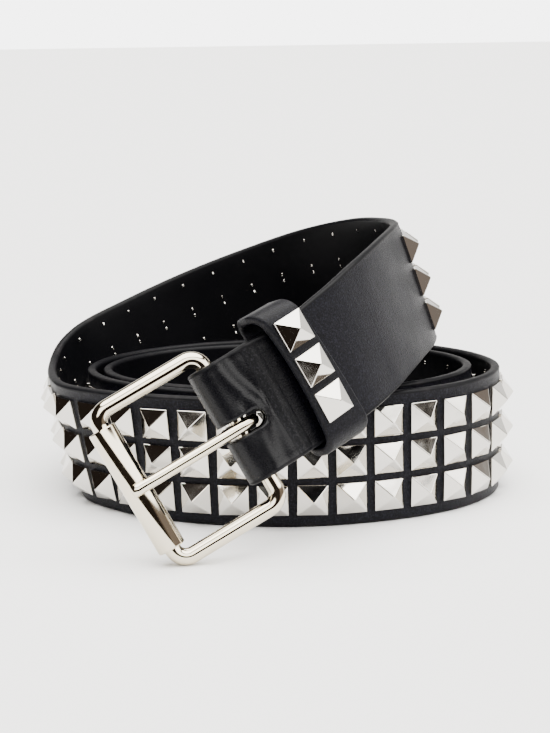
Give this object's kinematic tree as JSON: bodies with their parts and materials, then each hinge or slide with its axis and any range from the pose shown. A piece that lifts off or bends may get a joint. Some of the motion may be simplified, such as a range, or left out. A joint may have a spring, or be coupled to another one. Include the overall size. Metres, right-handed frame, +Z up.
{
  "type": "studded belt",
  "caption": "Leather belt with rows of pyramid studs, a roller buckle with a prong and a studded keeper, lying on its edge in a loose coil with its buckle end raised over it.",
  "frame": {"origin": "on the floor under the middle of the belt's box", "axes": "+Z up, along the strap's width in the coil; +X along the coil's long way, to the right as seen from the buckle's side; -Y towards the buckle"},
  "size_m": [0.1456, 0.1546, 0.0819],
  "materials": {
    "black_leather": "satin, finely grained",
    "polished_nickel": "polished"
  },
  "bodies": {
    "belt": {"studded_strap": "black_leather", "keeper": "black_leather", "keeper_stud_1": "polished_nickel", "keeper_stud_2": "polished_nickel", "keeper_stud_3": "polished_nickel"},
    "buckle": {"buckle_frame": "polished_nickel"},
    "roller": {"buckle_roller": "polished_nickel"},
    "prong": {"prong": "polished_nickel"}
  },
  "joints": [
    {"name": "buckle_swing", "type": "hinge", "parent": "belt", "child": "buckle", "pos_m": [-0.00954, -0.06241, 0.03529], "axis": [-0.4939, 0.1181, 0.8614], "range_deg": [0, 40]},
    {"name": "prong_swing", "type": "hinge", "parent": "buckle", "child": "prong", "pos_m": [-0.00954, -0.06241, 0.03529], "axis": [-0.4939, 0.1181, 0.8614], "range_deg": [0, 60]},
    {"name": "roller_spin", "type": "hinge", "parent": "buckle", "child": "roller", "pos_m": [-0.03698, -0.06976, 0.02056], "axis": [-0.4939, 0.1181, 0.8614], "continuous": true}
  ]
}
